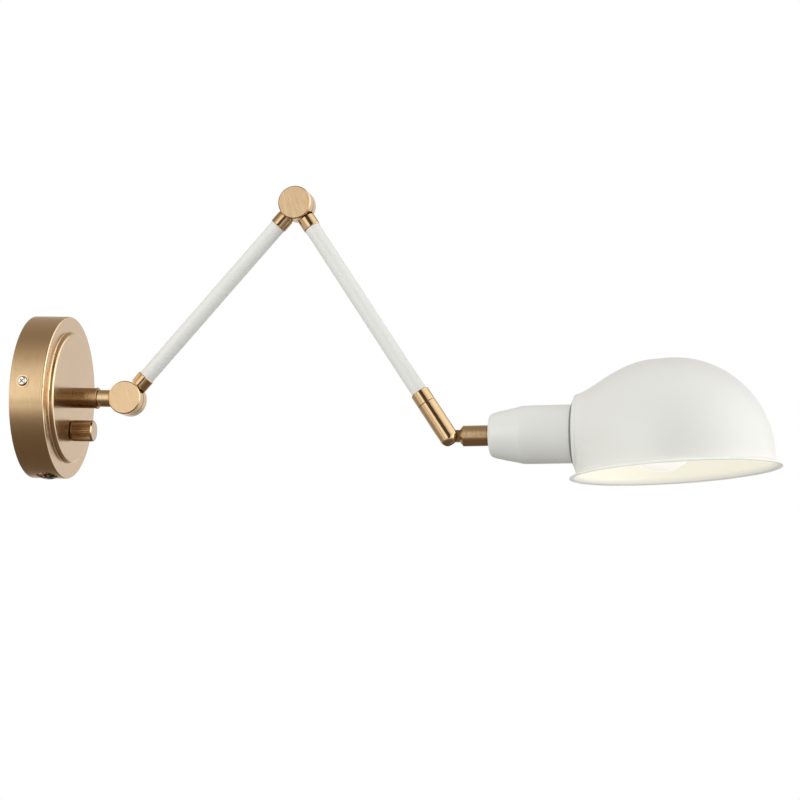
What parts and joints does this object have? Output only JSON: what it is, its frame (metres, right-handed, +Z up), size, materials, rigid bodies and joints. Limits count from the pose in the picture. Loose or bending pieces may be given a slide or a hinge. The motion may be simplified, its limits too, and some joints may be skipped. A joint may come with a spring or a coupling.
{
  "type": "accordion wall lamp",
  "caption": "Wall lamp with a folding arm: round wall cover with a dimmer knob, friction elbows and a hooded dome shade on a tilting, swivelling head.",
  "frame": {"origin": "centre of the bracket's fixing slots, on the wall plane behind the round wall cover", "axes": "+X out of the wall towards the room, +Z up the wall, +Y along the wall; the arms lie in the XZ plane in the pictured pose"},
  "size_m": [0.5439, 0.1488, 0.2173],
  "materials": {
    "satin_brass": "satin brushed and lacquered brass",
    "polished_brass": "polished brass",
    "ivory_enamel": "smooth satin off-white enamel",
    "plated_steel": "zinc-plated steel",
    "friction_nylon": "dark nylon",
    "white_moulding": "moulded white thermoset",
    "dark_moulding": "moulded dark thermoset",
    "green_steel": "green-passivated steel",
    "contact_brass": "bright pressed brass",
    "wire_insulation": "clear-white insulation",
    "bulb_glass": "frosted glass"
  },
  "bodies": {
    "wall_unit": {"wall_bracket": "plated_steel", "earth_screw": "green_steel", "terminal_block": "white_moulding", "wall_cover": "satin_brass", "cover_screws": "polished_brass", "outlet_plug": "polished_brass", "outlet_plug_nut": "plated_steel", "stem_sleeve": "satin_brass", "stem_nipple": "plated_steel", "stem_washer": "plated_steel", "stem_nut": "plated_steel", "dimmer": "dark_moulding", "dimmer_nut": "plated_steel"},
    "dimmer_control": {"dimmer_shaft": "plated_steel", "dimmer_knob": "satin_brass"},
    "shoulder": {"shoulder_half": "satin_brass", "shoulder_cap": "satin_brass", "journal_ring": "plated_steel", "shoulder_bolt": "plated_steel", "shoulder_nut": "plated_steel", "shoulder_washer": "friction_nylon", "stem_wires": "wire_insulation"},
    "inner_arm": {"inner_arm_lower_half": "satin_brass", "inner_arm_lower_cap": "satin_brass", "inner_arm_lower_ferrule": "satin_brass", "inner_arm_tube": "ivory_enamel", "inner_arm_upper_ferrule": "satin_brass", "inner_arm_upper_half": "satin_brass", "inner_arm_upper_cap": "satin_brass", "elbow_bolt": "plated_steel", "elbow_nut": "plated_steel", "elbow_washer": "friction_nylon", "inner_arm_wires": "wire_insulation"},
    "outer_arm": {"outer_arm_upper_half": "satin_brass", "outer_arm_upper_cap": "satin_brass", "outer_arm_upper_ferrule": "satin_brass", "outer_arm_tube": "ivory_enamel", "outer_arm_lower_ferrule": "satin_brass", "outer_arm_wires": "wire_insulation"},
    "knuckle": {"knuckle": "satin_brass", "swivel_post": "plated_steel", "tilt_screw": "plated_steel"},
    "head": {"head_tongue": "satin_brass", "neck_lock_ring": "satin_brass", "head_nipple": "plated_steel", "cup_nut": "plated_steel", "socket_cup": "ivory_enamel", "seam_ring": "ivory_enamel", "lampholder": "white_moulding", "lampholder_shell": "contact_brass", "centre_contact": "contact_brass", "head_wires": "wire_insulation", "shade": "ivory_enamel", "shade_clamp_ring": "white_moulding", "bulb_cap": "contact_brass", "bulb_glass": "bulb_glass"}
  },
  "joints": [
    {"name": "dimmer_turn", "type": "hinge", "parent": "wall_unit", "child": "dimmer_control", "pos_m": [0.04, 0, -0.0241], "axis": [1, 0, 0], "range_deg": [0, 280]},
    {"name": "stem_swivel", "type": "hinge", "parent": "wall_unit", "child": "shoulder", "pos_m": [0.048, 0, 0], "axis": [1, 0, 0], "range_deg": [-170, 170]},
    {"name": "shoulder_fold", "type": "hinge", "parent": "shoulder", "child": "inner_arm", "pos_m": [0.0696, 0, 0], "axis": [0, -1, 0], "range_deg": [-145, 45]},
    {"name": "elbow_fold", "type": "hinge", "parent": "inner_arm", "child": "outer_arm", "pos_m": [0.18968, 0, 0.14433], "axis": [0, -1, 0], "range_deg": [-17, 150]},
    {"name": "head_swivel", "type": "hinge", "parent": "outer_arm", "child": "knuckle", "pos_m": [0.29156, 0, 0.00039], "axis": [0.5777, 0, -0.8162], "range_deg": [-170, 170]},
    {"name": "head_tilt", "type": "hinge", "parent": "knuckle", "child": "head", "pos_m": [0.30797, 0, -0.0228], "axis": [0, -1, 0], "range_deg": [-155, 42]}
  ]
}
